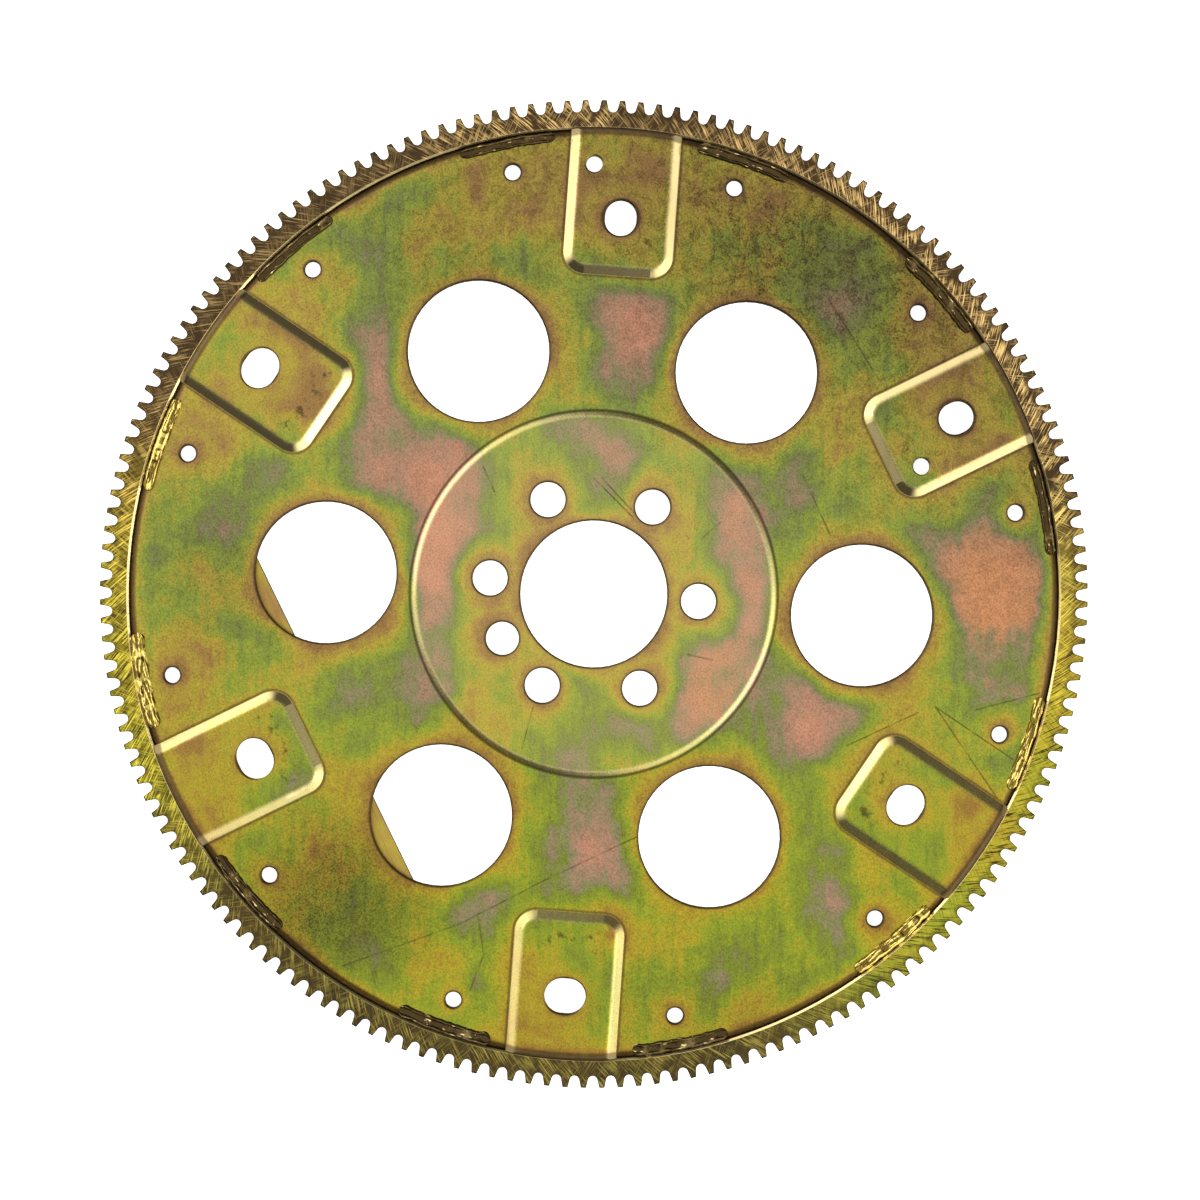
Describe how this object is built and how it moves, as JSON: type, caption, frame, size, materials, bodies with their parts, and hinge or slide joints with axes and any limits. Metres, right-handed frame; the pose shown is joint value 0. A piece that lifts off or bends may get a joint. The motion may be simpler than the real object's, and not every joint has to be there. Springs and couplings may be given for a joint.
{
  "type": "flexplate",
  "caption": "Pressed steel flexplate with a welded starter ring gear, raised slotted pads and a balance weight, joining a crankshaft to a torque converter.",
  "frame": {"origin": "centre of the pilot bore on the crank seat, the hub's rear face", "axes": "+Z along the crank axis towards the torque converter, the balance weight and the dowel hole towards -Y"},
  "size_m": [0.3588, 0.3588, 0.013],
  "materials": {
    "disc_plating": "yellow chromated zinc plating, iridescent olive green, gold and rose, satin",
    "ring_plating": "yellow chromated zinc plating over a ground face with crossing scratches",
    "weld_plating": "yellow chromated zinc plating over an uneven weld bead",
    "weight_plating": "yellow chromated zinc plating, brown gold, satin"
  },
  "bodies": {
    "root": {"disc": "disc_plating", "ring_gear": "ring_plating", "balance_weight": "weight_plating", "ring_weld_01": "weld_plating", "ring_weld_02": "weld_plating", "ring_weld_03": "weld_plating", "ring_weld_04": "weld_plating", "ring_weld_05": "weld_plating", "ring_weld_06": "weld_plating", "ring_weld_07": "weld_plating", "ring_weld_08": "weld_plating", "ring_weld_09": "weld_plating", "ring_weld_10": "weld_plating", "ring_weld_11": "weld_plating", "ring_weld_12": "weld_plating", "weight_weld_left": "weld_plating", "weight_weld_right": "weld_plating", "weight_weld_left_end": "weld_plating", "weight_weld_right_end": "weld_plating"}
  },
  "joints": []
}
